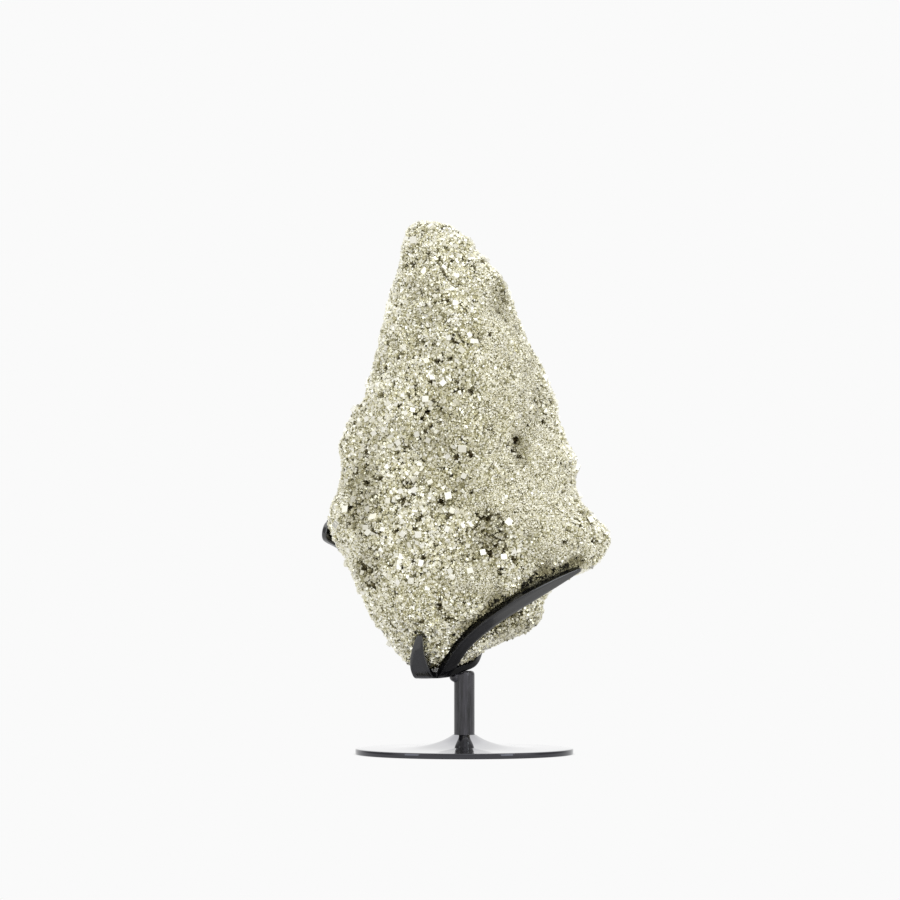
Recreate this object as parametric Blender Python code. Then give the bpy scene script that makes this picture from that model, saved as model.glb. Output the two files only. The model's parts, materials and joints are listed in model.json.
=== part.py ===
"""A pyrite cluster held by a bent steel claw on a round display stand.

Run with: blender --background --python part.py
Sizes below are in millimetres and MM turns them into Blender's metres. +X is to the right,
+Y to the back and +Z up. The origin is the centre of the base's underside.
"""

import math
import random

import bmesh
import bpy
from mathutils import Matrix, Vector, noise
from mathutils.bvhtree import BVHTree

MM = 0.001

# ---- driving dimensions, in millimetres ------------------------------------------------
PART_GAP = 0.3          # clearance that neighbouring pieces keep
RELIEF = 0.7            # the stone is cut back this far round the claw

BASE_RADIUS = 52.5
BASE_THICK = 2.7
BASE_EDGE = 0.5         # rounding of the rim
FLARE_RISE = 6.9        # how far the spun disc climbs at the post
FLARE_FADE = 9.3        # distance over which that climb falls away
FLARE_RADII = (38, 27, 20, 15, 11, 8, 6)
SOCKET_FLOOR = 1.2      # the post stands in a socket of this height above the table
COLLAR_EDGE = 0.3       # rounding of the flare's top round the post
BASE_SIDES = 48
SMOOTH_BELOW = 40       # degrees between faces that are shaded as one round surface

POST_RADIUS = 5.0
POST_TOP = 40.2         # before it is cut to the slope of the claw
POST_ROUND = 1.6        # rounding of the post's top
POST_FOOT_EDGE = 0.4
POST_SIDES = 28
WELD = Vector((-4.2, -1.5, 37.4))
WELD_SIZE = Vector((3.2, 3.4, 2.9))

PLATE_THICK = 3.2       # steel of the claw
CLAW_ROWS = 13          # cross rows along the longest prongs
CLAW_EDGE = 0.35        # ground edge of the plate

PROBE = 200.0           # how far off a ray starts that looks for the stone's surface
STONE_LEVELS = 40
STONE_SIDES = 48        # points round one level, a multiple of four
STONE_TOP = Vector((-23.0, -1.0, 257.6))
STONE_FOOT = Vector((-13.0, -3.0, 41.0))
LEVELS_TO_ENDS = 0.5    # how much closer the levels lie near the foot and the top

# Outline seen from the front: height, then the left or right edge at that height.
LEFT_EDGE = (
    (41, -21), (43, -27), (46, -30), (55, -38), (60, -40.5), (65, -46), (74, -49), (84, -54),
    (94, -58), (99, -61), (104, -64.5), (109, -66), (118, -66.5), (122, -64.5), (131, -60), (141, -59.5),
    (147, -61.5), (152, -61), (170, -50.5), (180, -46), (199, -42), (224, -36), (238, -31),
    (243, -31.5), (252, -28), (256.5, -25.7),
)
RIGHT_EDGE = (
    (41, -5), (44, 1), (47, 6), (50, 10.5), (52, 16), (55, 24), (58, 30), (61.5, 36.5), (66, 38.5),
    (74, 39), (80, 42.5), (85, 50), (89, 61.5), (94, 67), (102, 71.5), (108, 69.5), (117, 62),
    (123, 55.5), (130, 54), (142, 55), (151, 50), (170, 45), (190, 37), (200, 30), (224, 22.5),
    (233, 16.5), (238, 10), (250, 2.5), (255, -6), (256.5, -12),
)
# The front crest: height, how far to the right it runs and how far forward it stands.
CREST_X = ((41, -15), (60, -14), (75, -10), (92, -3), (108, 6), (122, 13), (135, 9), (170, 6.5),
           (190, 4), (215, -5), (235, -11), (257, -19))
CREST_Y = ((41, -13), (46, -19), (52, -24), (64, -32), (75, -37), (90, -41), (110, -43),
           (125, -42), (150, -38), (175, -35), (200, -29), (220, -23), (240, -15), (257, -8))
# The back face and the depth at which the two side edges lie.
BACK_X = ((41, -12), (70, 0), (110, 3), (170, -3), (215, -7), (257, -20))
BACK_Y = ((41, 4), (46, 9), (54, 18), (64, 27), (78, 33), (110, 37), (150, 34), (185, 28), (220, 19),
          (240, 12), (257, 6))
LEFT_Y = ((41, -3), (60, 0), (105, 4), (150, 1), (210, 1), (257, -1))
RIGHT_Y = ((41, -1), (55, 9), (72, 12), (88, 4), (104, 2), (130, 8), (180, 4), (257, -1))
# Fullness of each quarter of a level: 1 is round, 2 is a flat flank from edge to crest.
FRONT_LEFT_FLAT = ((41, 1.0), (90, 1.05), (130, 1.3), (190, 1.25), (257, 1.0))
FRONT_RIGHT_FLAT = ((41, 1.0), (70, 1.0), (92, 1.3), (120, 1.5), (170, 1.45), (215, 1.15), (257, 1.0))
BACK_RIGHT_FLAT = ((41, 1.0), (90, 0.8), (150, 0.85), (257, 1.0))
BACK_LEFT_FLAT = ((41, 1.0), (100, 1.15), (170, 0.95), (257, 1.0))

# Lumps of the druse: how far they swell, and how wide they are.
LUMPS = ((3.6, 21.0), (2.2, 9.0), (1.1, 4.8))
LUMPS_FADE = 12.0       # depth from the side edges at which the lumps reach their full size
LUMPS_SIDEWAYS = 0.6    # how much of that they move sideways
UNEVEN = 2.4            # how far the levels stray from their heights

# Hollows that show from a step away: x, height, half width, half height, depth, and their side.
HOLLOWS = (
    (15.8, 219, 6.0, 12.0, 4.5, "front"), (25.4, 148, 6.0, 9.0, 5.5, "front"),
    (11.5, 112, 6.5, 6.0, 4.5, "front"), (16.5, 101, 6.5, 6.0, 4.5, "front"),
    (-50.0, 127, 6.0, 19.0, 3.5, "front"), (-47.0, 91, 5.5, 9.0, 4.0, "front"),
    (-18.0, 161, 6.0, 8.0, 4.0, "front"), (2.0, 166, 7.0, 19.0, 3.0, "front"),
    (56.0, 116, 6.0, 7.0, 5.0, "front"), (-40.5, 187, 5.5, 9.0, 3.0, "front"),
    (37.0, 164, 5.0, 8.0, 2.5, "front"), (-21.0, 233, 6.0, 6.0, 3.0, "front"),
    (-20.0, 138, 6.0, 6.0, 3.0, "front"),
    (-30, 196, 9.0, 9.0, 4.0, "back"), (10, 172, 10.0, 12.0, 5.0, "back"),
    (-26, 128, 10.0, 8.0, 5.0, "back"), (26, 96, 9.0, 9.0, 5.0, "back"),
)

# The largest crystals of the front: x, height and edge length.
FRONT_CRYSTALS = (
    (-1.1, 193.6, 4.0), (-4.0, 190.3, 3.0), (-9.6, 190.3, 3.0), (1.8, 184.5, 3.4),
    (-18.2, 188.8, 3.0), (-18.7, 170.5, 3.8), (-10.3, 178.2, 3.6), (3.7, 198, 2.8),
    (-28.5, 199.4, 3.2), (-4.5, 216.3, 3.2), (-40.5, 123.5, 4.4), (-36.5, 122, 3.4),
    (20.8, 112, 4.2), (22.0, 105, 3.6), (8.5, 97.5, 3.4), (18.5, 95.5, 3.6), (-10.5, 88.5, 4.0),
    (-6.0, 86, 3.6), (-42, 87.2, 3.8), (-33, 96, 3.4), (-25.5, 84, 3.6), (60.5, 112.5, 3.8),
    (64.5, 104, 3.4), (-46, 107, 3.4), (-22, 106, 3.8), (-6, 117.5, 3.4), (2.5, 89, 3.6),
    (-16.5, 74, 3.4),
)
SCATTERED_CRYSTALS = 84
CRYSTAL_EDGE = (2.8, 4.8)
CRYSTAL_SEED = 11
CRYSTAL_SUNK = (0.06, 0.24)     # how deep a crystal sits, as a share of its edge
CRYSTAL_LEAN = (8, 34)          # degrees that its face leans from the surface
DISPLAY_SIDE = Vector((0.14, -0.93, 0.33))      # the way that the front crystals' flat faces look
DISPLAY_LEAN = (0, 9)
CRYSTALS_APART = 0.8    # nearest that two of them grow, as a share of their edges added up
SUGARY_FROM = 9.0               # right of this the front is too fine for large crystals
CLEAR_OF_CLAW = 2.5

# The claw is cut from one plate as a cross and bent. Each prong is given by the two long edges of
# its outer face, from the hub outwards: the first edge is the one nearer the front.
HUB_FRONT = Vector((-13.2, -12.5, 36.6))
HUB_RIGHT = Vector((-7.0, -6.5, 37.2))
HUB_BACK = Vector((-12.5, 3.5, 38.4))
HUB_LEFT = Vector((-21.5, -5.0, 36.9))
SHORT_PRONG = (
    ((-15.2, -16.0, 37.2), (-17.0, -20.0, 41.0), (-18.6, -23.4, 45.4), (-19.8, -26.6, 50.2),
     (-20.0, -29.2, 54.8), (-20.3, -30.6, 57.9)),
    ((-24.0, -13.0, 36.3), (-25.8, -17.6, 40.3), (-26.2, -21.6, 44.8), (-25.4, -25.2, 49.9),
     (-23.9, -28.2, 54.8), (-22.5, -30.0, 57.9)),
)
LONG_PRONG = (
    ((-11.2, -14.5, 38.8), (-8.2, -17.4, 44.7), (-3.3, -20.0, 52.1), (2.9, -22.3, 58.8),
     (9.0, -24.0, 64.1), (17.2, -25.0, 69.9), (27.0, -24.3, 76.2), (42.1, -18.3, 84.5),
     (54.6, -9.8, 90.6)),
    ((-5.4, -8.5, 39.6), (-3.4, -11.5, 42.3), (1.0, -13.8, 49.5), (6.3, -15.6, 55.3),
     (12.2, -17.2, 60.2), (20.1, -18.0, 65.9), (29.5, -17.2, 71.7), (44.0, -12.9, 80.9),
     (54.8, -8.6, 89.0)),
)
BACK_PRONG = (
    ((-2.6, -5.0, 39.1), (3.4, -0.5, 41.2), (6.4, 5.0, 44.0), (8.2, 12.0, 49.5), (10.2, 21.0, 60.0),
     (11.5, 28.0, 74.0), (11.0, 31.0, 86.0)),
    ((-8.6, 4.5, 40.2), (-3.4, 7.6, 42.0), (-0.6, 12.0, 45.0), (1.0, 17.0, 50.5), (4.0, 24.5, 61.0),
     (7.5, 29.5, 74.5), (9.6, 31.0, 86.0)),
)
LEFT_PRONG = (
    ((-25.0, -0.5, 38.6), (-27.0, 6.0, 45.0), (-30.0, 13.0, 55.0), (-36.0, 19.0, 66.0),
     (-44.0, 22.0, 78.0), (-52.0, 21.0, 90.0), (-60.0, 15.0, 98.5), (-65.2, 9.4, 101.2),
     (-68.3, 5.6, 103.3), (-69.5, 3.9, 106.4)),
    ((-17.5, 7.5, 40.0), (-20.0, 13.5, 48.0), (-23.5, 21.0, 60.0), (-30.0, 26.0, 73.0),
     (-39.5, 27.0, 86.0), (-48.5, 24.6, 98.0), (-57.5, 18.0, 107.5), (-62.8, 11.8, 111.4),
     (-66.4, 7.4, 112.0), (-69.1, 4.3, 109.2)),
)
SETTLE_FROM = 0.25      # share of a prong's length after which it rests on the stone
SETTLE_IN = 0.9         # most that a prong may be drawn in to touch it
PRONG_PROBE = 30.0      # how far outside the prong the ray starts that finds the stone behind it

# The front mass overhangs the long prong: above its front edge the stone swells at this slope.
OVERHANG_SLOPE = 1.0
OVERHANG_REACH = 14.0
UNDERCUT = 6.0          # height over which the stone steps back under the prong's plate


# ---- helpers ---------------------------------------------------------------------------
def along(line, at):
    """The value of a list of (place, value) pairs at a place, straight between its points."""
    if at <= line[0][0]:
        return line[0][1]
    for (low, first), (high, second) in zip(line, line[1:]):
        if at <= high:
            return first + (second - first) * (at - low) / (high - low)
    return line[-1][1]


def ease(share):
    """Smooth step from 0 to 1."""
    share = min(max(share, 0.0), 1.0)
    return share * share * (3.0 - 2.0 * share)


def finish(name, color, roughness, metallic):
    material = bpy.data.materials.new(name)
    material.use_nodes = True
    shader = material.node_tree.nodes["Principled BSDF"]
    shader.inputs["Base Color"].default_value = (*color, 1.0)
    shader.inputs["Roughness"].default_value = roughness
    shader.inputs["Metallic"].default_value = metallic
    return material


def add_object(name, bm, material, smooth_below=None):
    """Turns a bmesh in millimetres into an object in metres."""
    bmesh.ops.recalc_face_normals(bm, faces=bm.faces)
    bm.transform(Matrix.Scale(MM, 4))
    mesh = bpy.data.meshes.new(name)
    bm.to_mesh(mesh)
    bm.free()
    mesh.materials.append(material)
    if smooth_below is not None:
        mesh.shade_smooth()
        mesh.set_sharp_from_angle(angle=math.radians(smooth_below))
    made = bpy.data.objects.new(name, mesh)
    bpy.context.scene.collection.objects.link(made)
    return made


def as_helper(helper):
    """Marks an object that only cuts or joins, so that it isn't part of the model."""
    helper.hide_render = True
    helper.display_type = "WIRE"
    return helper


def combine(target, helper, operation, self_crossing=False):
    boolean = target.modifiers.new(helper.name, "BOOLEAN")
    boolean.operation = operation
    boolean.solver = "EXACT"
    boolean.use_self = self_crossing
    boolean.object = helper


def turned(profile, sides):
    """A bmesh of a (radius, height) profile turned round Z; a radius of 0 is a pole."""
    bm = bmesh.new()
    turns = [2 * math.pi * step / sides for step in range(sides)]
    rings = []
    for radius, height in profile:
        if radius == 0:
            rings.append([bm.verts.new((0, 0, height))])
        else:
            rings.append([bm.verts.new((radius * math.cos(a), radius * math.sin(a), height)) for a in turns])
    for lower, upper in zip(rings, rings[1:]):
        for step in range(sides):
            after = (step + 1) % sides
            if len(lower) == 1:
                bm.faces.new((lower[0], upper[after], upper[step]))
            elif len(upper) == 1:
                bm.faces.new((lower[step], lower[after], upper[0]))
            else:
                bm.faces.new((lower[step], lower[after], upper[after], upper[step]))
    return bm


# ---- the pyrite cluster ----------------------------------------------------------------
def quarter(edge, crest, centre, share, flat):
    """A point between a side edge and a crest on one quarter of a level."""
    angle = share * math.pi / 2
    x = centre[0] + (edge[0] - centre[0]) * math.cos(angle) ** flat
    y = centre[1] + (crest[1] - centre[1]) * math.sin(angle) ** flat
    return x, y


def level_point(height, turn):
    """The drawn surface at a height; turn goes 0 left, 1 front, 2 right, 3 back, 4 left again."""
    left = (along(LEFT_EDGE, height), along(LEFT_Y, height))
    right = (along(RIGHT_EDGE, height), along(RIGHT_Y, height))
    front = (along(CREST_X, height), along(CREST_Y, height))
    back = (along(BACK_X, height), along(BACK_Y, height))
    share = turn % 1.0
    if turn < 1:
        x, y = quarter(left, front, (front[0], left[1]), share, along(FRONT_LEFT_FLAT, height))
    elif turn < 2:
        x, y = quarter(right, front, (front[0], right[1]), 1 - share, along(FRONT_RIGHT_FLAT, height))
    elif turn < 3:
        x, y = quarter(right, back, (back[0], right[1]), share, along(BACK_RIGHT_FLAT, height))
    else:
        x, y = quarter(left, back, (back[0], left[1]), 1 - share, along(BACK_LEFT_FLAT, height))
    return Vector((x, y, height))


def lumpy(point, side_depth):
    """Adds the lumps of the druse, which fade out towards the two side edges."""
    away = min(abs(point.y - side_depth) / LUMPS_FADE, 1.0)
    moved = point.copy()
    for index, (swell, width) in enumerate(LUMPS):
        lump = noise.noise(point / width + Vector((3.1, 7.7, 1.3)) * (index + 1))
        sideways = noise.noise(point / width + Vector((9.2, 0.4, 5.8)) * (index + 1))
        moved.y += away * swell * lump
        moved.x += away * swell * sideways * LUMPS_SIDEWAYS
    moved.z += UNEVEN * noise.noise(point / LUMPS[-1][1] + Vector((1.7, 4.6, 8.1)))
    return moved


def hollowed(point):
    """Pushes a point in where one of the named hollows lies."""
    for x, height, half_wide, half_high, depth, side in HOLLOWS:
        sign = -1 if side == "front" else 1
        reach = math.hypot((point.x - x) / half_wide, (point.z - height) / half_high)
        if reach < 1 and point.y * sign > 0:
            point.y -= sign * depth * ease(1 - reach)
    return point


def behind_long_prong(point):
    """Keeps the stone above and behind the long prong's plate, so that it rests on the plate."""
    front_edge, back_edge = LONG_PRONG
    if point.x < HUB_FRONT.x - UNDERCUT or point.x > front_edge[-1][0] + UNDERCUT:
        return point
    line = along([(x, z) for x, _, z in (HUB_FRONT, *front_edge)], point.x)
    front_depth = along([(x, y) for x, y, _ in (HUB_FRONT, *front_edge)], point.x)
    back_depth = along([(x, y) for x, y, _ in (HUB_RIGHT, *back_edge)], point.x)
    above = point.z - line - PLATE_THICK
    if above > OVERHANG_REACH:
        return point
    if above > 0:
        limit = front_depth - OVERHANG_SLOPE * above
    else:
        limit = front_depth + (back_depth + PLATE_THICK - front_depth) * min(-above / UNDERCUT, 1.0)
    point.y = max(point.y, limit)
    return point


def stone_level(height):
    """The points round one level, scaled sideways so that they keep to the outline."""
    ring = []
    for step in range(STONE_SIDES):
        turn = 4.0 * step / STONE_SIDES
        side_depth = along(LEFT_Y if turn < 1 or turn > 3 else RIGHT_Y, height)
        ring.append(hollowed(lumpy(level_point(height, turn), side_depth)))
    left, right = along(LEFT_EDGE, height), along(RIGHT_EDGE, height)
    low, high = min(p.x for p in ring), max(p.x for p in ring)
    for point in ring:
        point.x = left + (right - left) * (point.x - low) / (high - low)
    return [behind_long_prong(point) for point in ring]


def stone_body():
    """The closed body of the cluster, without its large crystals."""
    bm = bmesh.new()
    rings = []
    for level in range(1, STONE_LEVELS):
        share = level / STONE_LEVELS
        bunched = (1 - math.cos(math.pi * share)) / 2
        share += (bunched - share) * LEVELS_TO_ENDS
        height = STONE_FOOT.z + (STONE_TOP.z - STONE_FOOT.z) * share
        rings.append([bm.verts.new(point) for point in stone_level(height)])
    foot = bm.verts.new(STONE_FOOT)
    top = bm.verts.new(STONE_TOP)
    for step in range(STONE_SIDES):
        after = (step + 1) % STONE_SIDES
        bm.faces.new((foot, rings[0][after], rings[0][step]))
        bm.faces.new((top, rings[-1][step], rings[-1][after]))
        for lower, upper in zip(rings, rings[1:]):
            bm.faces.new((lower[step], lower[after], upper[after], upper[step]))
    bmesh.ops.recalc_face_normals(bm, faces=bm.faces)
    bmesh.ops.triangulate(bm, faces=bm.faces)
    return bm


def crystal_places(body, claw_tree):
    """(point, way its face looks, edge, lean) of each large crystal, clear of the claw."""
    tree = BVHTree.FromBMesh(body)
    places = []
    for x, height, edge in FRONT_CRYSTALS:
        hit, normal, _, _ = tree.ray_cast(Vector((x, -PROBE, height)), Vector((0, 1, 0)))
        if hit:
            places.append((hit, (normal + 2 * DISPLAY_SIDE).normalized(), edge, DISPLAY_LEAN))
    dice = random.Random(CRYSTAL_SEED)
    faces = list(body.faces)
    wanted = len(places) + SCATTERED_CRYSTALS
    for face in dice.choices(faces, [face.calc_area() for face in faces], k=SCATTERED_CRYSTALS * 6):
        centre = face.calc_center_median()
        edge = dice.uniform(*CRYSTAL_EDGE)
        sugary = face.normal.y < 0 and centre.x > SUGARY_FROM
        apart = all((centre - place[0]).length > CRYSTALS_APART * (edge + place[2]) for place in places)
        if len(places) < wanted and apart and not sugary:
            places.append((centre, face.normal.copy(), edge, CRYSTAL_LEAN))
    return [place for place in places
            if claw_tree.find_nearest(place[0])[3] > CLEAR_OF_CLAW + place[2] / 2]


def crystal_mesh(places):
    """One cube for each place, sunk into the body with a flat face towards the outside."""
    dice = random.Random(CRYSTAL_SEED + 1)
    bm = bmesh.new()
    for point, normal, edge, leaning in places:
        upright = normal.to_track_quat("Z", "X").to_matrix().to_4x4()
        spin = Matrix.Rotation(dice.uniform(0, 2 * math.pi), 4, "Z")
        lean = Matrix.Rotation(math.radians(dice.uniform(*leaning)), 4, "X")
        twist = Matrix.Rotation(dice.uniform(0, 2 * math.pi), 4, "Z")
        sunk = Matrix.Translation(point - normal * edge * dice.uniform(*CRYSTAL_SUNK))
        sides = Matrix.Diagonal((1.0, dice.uniform(0.8, 1.0), dice.uniform(0.85, 1.0), 1.0))
        bmesh.ops.create_cube(bm, size=edge, matrix=sunk @ upright @ spin @ lean @ twist @ sides)
    return bm


# ---- the claw --------------------------------------------------------------------------
def smooth_route(points, count):
    """count points evenly placed on a Catmull-Rom curve through the given points."""
    points = [Vector(point) for point in points]
    ends = [points[0] * 2 - points[1], *points, points[-1] * 2 - points[-2]]
    route = []
    for step in range(count):
        place = (len(points) - 1) * step / (count - 1)
        first = min(int(place), len(points) - 2)
        t = place - first
        a, b, c, d = ends[first:first + 4]
        route.append(0.5 * (2 * b + (c - a) * t + (2 * a - 5 * b + 4 * c - d) * t ** 2
                            + (3 * b - a - 3 * c + d) * t ** 3))
    return route


def averaged(values, rounds):
    """Evens out a list of numbers, keeping its two ends."""
    for _ in range(rounds):
        inner = [(a + 2 * b + c) / 4 for a, b, c in zip(values, values[1:], values[2:])]
        values = [values[0], *inner, values[-1]]
    return values


def prong_rows(edges, body_tree):
    """(near edge, far edge, outward normal) of each cross row, moved to rest on the stone."""
    count = min(CLAW_ROWS, 2 * len(edges[0]) - 1)
    near = smooth_route(edges[0], count)
    far = smooth_route(edges[1], count)
    normals = []
    for row in range(count):
        before, after = max(row - 1, 0), min(row + 1, count - 1)
        onward = (near[after] + far[after]) - (near[before] + far[before])
        normals.append(onward.cross(near[row] - far[row]).normalized())
    if normals[0].z > 0:
        normals = [-normal for normal in normals]
    shifts = []
    for row, (one, other, normal) in enumerate(zip(near, far, normals)):
        middle = (one + other) / 2
        hit, _, _, gap = body_tree.ray_cast(middle + normal * PRONG_PROBE, -normal)
        rest = PRONG_PROBE - gap + PART_GAP + PLATE_THICK if hit else 0.0
        share = row / (count - 1)
        shifts.append(max(rest, -SETTLE_IN) * ease(share / SETTLE_FROM - 0.5))
    shifts = averaged(shifts, 2)
    return [(one + normal * shift, other + normal * shift, normal)
            for one, other, normal, shift in zip(near, far, normals, shifts)]


def hub_corners(bm, grown):
    """The inner and outer vertex at each corner of the plate's middle."""
    hub = {"front": HUB_FRONT, "right": HUB_RIGHT, "back": HUB_BACK, "left": HUB_LEFT}
    middle = sum(hub.values(), Vector()) / len(hub)
    normal = (HUB_BACK - HUB_FRONT).cross(HUB_RIGHT - HUB_LEFT).normalized()
    normal *= -1 if normal.z > 0 else 1
    corner = {}
    for name, place in hub.items():
        outer = place + (place - middle).normalized() * grown + normal * grown
        corner[name] = (bm.verts.new(outer - normal * (PLATE_THICK + 2 * grown)), bm.verts.new(outer))
    return corner


def add_prong(bm, start, rows, grown):
    """Carries the plate from its hub edge through the rows to the prong's end."""
    last_but_one, last = rows[-2], rows[-1]
    push = ((last[0] + last[1]) - (last_but_one[0] + last_but_one[1])).normalized() * grown
    rows = [*rows[:-1], (last[0] + push, last[1] + push, last[2])]
    lines = [start]
    for near, far, normal in rows:
        widen = (near - far).normalized() * grown
        outer_near = near + widen + normal * grown
        outer_far = far - widen + normal * grown
        inward = -normal * (PLATE_THICK + 2 * grown)
        lines.append(tuple(bm.verts.new(place) for place in
                           (outer_near + inward, outer_near, outer_far + inward, outer_far)))
    for (a, b, c, d), (e, f, g, h) in zip(lines, lines[1:]):
        for face in ((a, c, g, e), (b, f, h, d), (a, e, f, b), (c, d, h, g)):
            bm.faces.new(face)
    e, f, g, h = lines[-1]
    bm.faces.new((e, g, h, f))


def claw_mesh(body_tree, grown=0.0):
    """The cruciform plate with its four prongs bent up; grown thickens it all round."""
    bm = bmesh.new()
    corner = hub_corners(bm, grown)
    prongs = (("front", "left", SHORT_PRONG), ("front", "right", LONG_PRONG),
              ("right", "back", BACK_PRONG), ("left", "back", LEFT_PRONG))
    for near, far, edges in prongs:
        add_prong(bm, (*corner[near], *corner[far]), prong_rows(edges, body_tree), grown)
    order = ("front", "right", "back", "left")
    bm.faces.new([corner[name][0] for name in order])
    bm.faces.new([corner[name][1] for name in order])
    bmesh.ops.recalc_face_normals(bm, faces=bm.faces)
    return bm


def ground_edges(bm):
    """Breaks the plate's long edges, as a grinder does."""
    edges = [edge for edge in bm.edges if edge.calc_face_angle() > math.radians(50)]
    bmesh.ops.bevel(bm, geom=edges, offset=CLAW_EDGE, segments=1, affect="EDGES", clamp_overlap=True)
    bmesh.ops.triangulate(bm, faces=bm.faces)
    return bm


# ---- the post and the base -------------------------------------------------------------
def post_mesh():
    foot = SOCKET_FLOOR + PART_GAP
    profile = [(0, foot), (POST_RADIUS - POST_FOOT_EDGE, foot), (POST_RADIUS, foot + POST_FOOT_EDGE)]
    for step in range(4):
        angle = math.pi / 2 * step / 3
        profile.append((POST_RADIUS - POST_ROUND * (1 - math.cos(angle)),
                        POST_TOP - POST_ROUND * (1 - math.sin(angle))))
    return turned([*profile, (0, POST_TOP)], POST_SIDES)


def weld_mesh():
    """The bead of weld between the post and the claw."""
    bm = bmesh.new()
    size = Matrix.Diagonal((*WELD_SIZE, 1.0))
    bmesh.ops.create_icosphere(bm, subdivisions=2, radius=1.0, matrix=Matrix.Translation(WELD) @ size)
    return bm


def base_mesh():
    """The spun disc: flat below, climbing in a trumpet curve to the post, with its socket."""
    collar = POST_RADIUS + PART_GAP
    profile = [(0, 0), (BASE_RADIUS - BASE_EDGE, 0), (BASE_RADIUS, BASE_EDGE),
               (BASE_RADIUS, BASE_THICK - BASE_EDGE), (BASE_RADIUS - BASE_EDGE, BASE_THICK)]
    for radius in FLARE_RADII:
        rise = FLARE_RISE * math.exp(-(radius - collar) / FLARE_FADE)
        profile.append((radius, BASE_THICK + rise))
    profile += [(collar, BASE_THICK + FLARE_RISE - COLLAR_EDGE), (collar, SOCKET_FLOOR), (0, SOCKET_FLOOR)]
    return turned(profile, BASE_SIDES)


def main():
    for old in list(bpy.data.objects):
        bpy.data.objects.remove(old)
    pyrite = finish("pyrite", (0.62, 0.58, 0.42), 0.28, 1.0)
    black_steel = finish("black_steel", (0.035, 0.035, 0.038), 0.32, 0.6)
    polished = finish("black_nickel", (0.30, 0.30, 0.31), 0.12, 1.0)

    body = stone_body()
    body_tree = BVHTree.FromBMesh(body)
    claw = claw_mesh(body_tree)
    crystals = crystal_mesh(crystal_places(body, BVHTree.FromBMesh(claw)))
    cluster = add_object("pyrite_cluster", body, pyrite)
    grown = as_helper(add_object("crystals_to_join", crystals, pyrite))
    relief = as_helper(add_object("claw_relief", claw_mesh(body_tree, RELIEF), black_steel))
    combine(cluster, grown, "UNION", self_crossing=True)
    combine(cluster, relief, "DIFFERENCE")

    add_object("claw_cradle", ground_edges(claw), black_steel)
    post = add_object("post", post_mesh(), black_steel, smooth_below=SMOOTH_BELOW)
    combine(post, as_helper(add_object("weld_bead", weld_mesh(), black_steel)), "UNION")
    mitre = as_helper(add_object("post_mitre", claw_mesh(body_tree, PART_GAP + 0.05), black_steel))
    combine(post, mitre, "DIFFERENCE")
    add_object("base_disc", base_mesh(), polished, smooth_below=SMOOTH_BELOW)


main()
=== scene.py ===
# %% [markdown]
# # A pyrite cluster on a claw stand
# Pyrite grows as small brass-pale cubes, side by side, until they form a crust that is called a
# druse. This one is a tall teardrop that weighs about four kilograms. A bent steel claw carries it
# on a short post and a round base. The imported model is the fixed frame: every piece below is laid
# over it or takes the place of one of its nodes.

# %% Load the frame
import json
import math
import random

import bmesh
import bpy
import numpy as np
from mathutils import Matrix, Vector, noise
from mathutils.bvhtree import BVHTree

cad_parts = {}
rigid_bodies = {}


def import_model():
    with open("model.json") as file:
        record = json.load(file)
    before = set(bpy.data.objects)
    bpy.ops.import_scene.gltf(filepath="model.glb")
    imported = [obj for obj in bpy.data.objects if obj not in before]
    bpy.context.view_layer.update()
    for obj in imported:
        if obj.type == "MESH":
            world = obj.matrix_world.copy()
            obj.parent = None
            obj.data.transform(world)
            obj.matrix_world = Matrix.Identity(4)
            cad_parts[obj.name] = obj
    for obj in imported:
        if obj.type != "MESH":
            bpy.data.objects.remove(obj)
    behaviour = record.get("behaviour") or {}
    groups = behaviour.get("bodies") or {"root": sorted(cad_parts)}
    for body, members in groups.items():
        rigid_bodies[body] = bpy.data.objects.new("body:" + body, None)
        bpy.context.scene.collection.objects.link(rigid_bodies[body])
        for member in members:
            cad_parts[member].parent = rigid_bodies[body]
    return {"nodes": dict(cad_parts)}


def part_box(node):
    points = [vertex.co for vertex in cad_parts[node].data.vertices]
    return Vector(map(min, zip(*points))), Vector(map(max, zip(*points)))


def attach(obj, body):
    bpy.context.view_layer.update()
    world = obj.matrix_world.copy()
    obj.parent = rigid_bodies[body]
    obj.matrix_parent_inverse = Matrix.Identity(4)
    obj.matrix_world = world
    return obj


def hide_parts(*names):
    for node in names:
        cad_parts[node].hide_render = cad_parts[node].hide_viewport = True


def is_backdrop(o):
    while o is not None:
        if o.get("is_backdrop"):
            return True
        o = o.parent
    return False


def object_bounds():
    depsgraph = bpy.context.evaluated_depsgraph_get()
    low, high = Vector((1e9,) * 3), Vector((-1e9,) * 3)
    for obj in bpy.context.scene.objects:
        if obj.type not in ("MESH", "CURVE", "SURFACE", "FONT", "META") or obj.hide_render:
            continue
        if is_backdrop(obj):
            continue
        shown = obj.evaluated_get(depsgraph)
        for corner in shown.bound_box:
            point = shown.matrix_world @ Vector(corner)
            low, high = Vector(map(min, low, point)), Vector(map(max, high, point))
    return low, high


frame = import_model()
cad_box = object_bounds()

MM = 0.001
print("nodes:", sorted(frame["nodes"]))
print("box in mm:", [round(v / MM, 1) for v in (*cad_box[0], *cad_box[1])])

# %% [markdown]
# ## The camera
# A long lens, far away and almost level with the middle of the stone, shows the disc as a thin
# line. A camera close by would look down on the disc and make the stone's foot look small.

# %% Camera
CAMERA_AWAY = 2.7           # metres from the axis of the stand
CAMERA_HEIGHT = 0.132
VIEW_CENTRE = Vector((-0.0069, 0.0, 0.1464))
VIEW_WIDTH = 0.4335         # metres that the picture spans at the stand
SENSOR = 36.0

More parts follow.
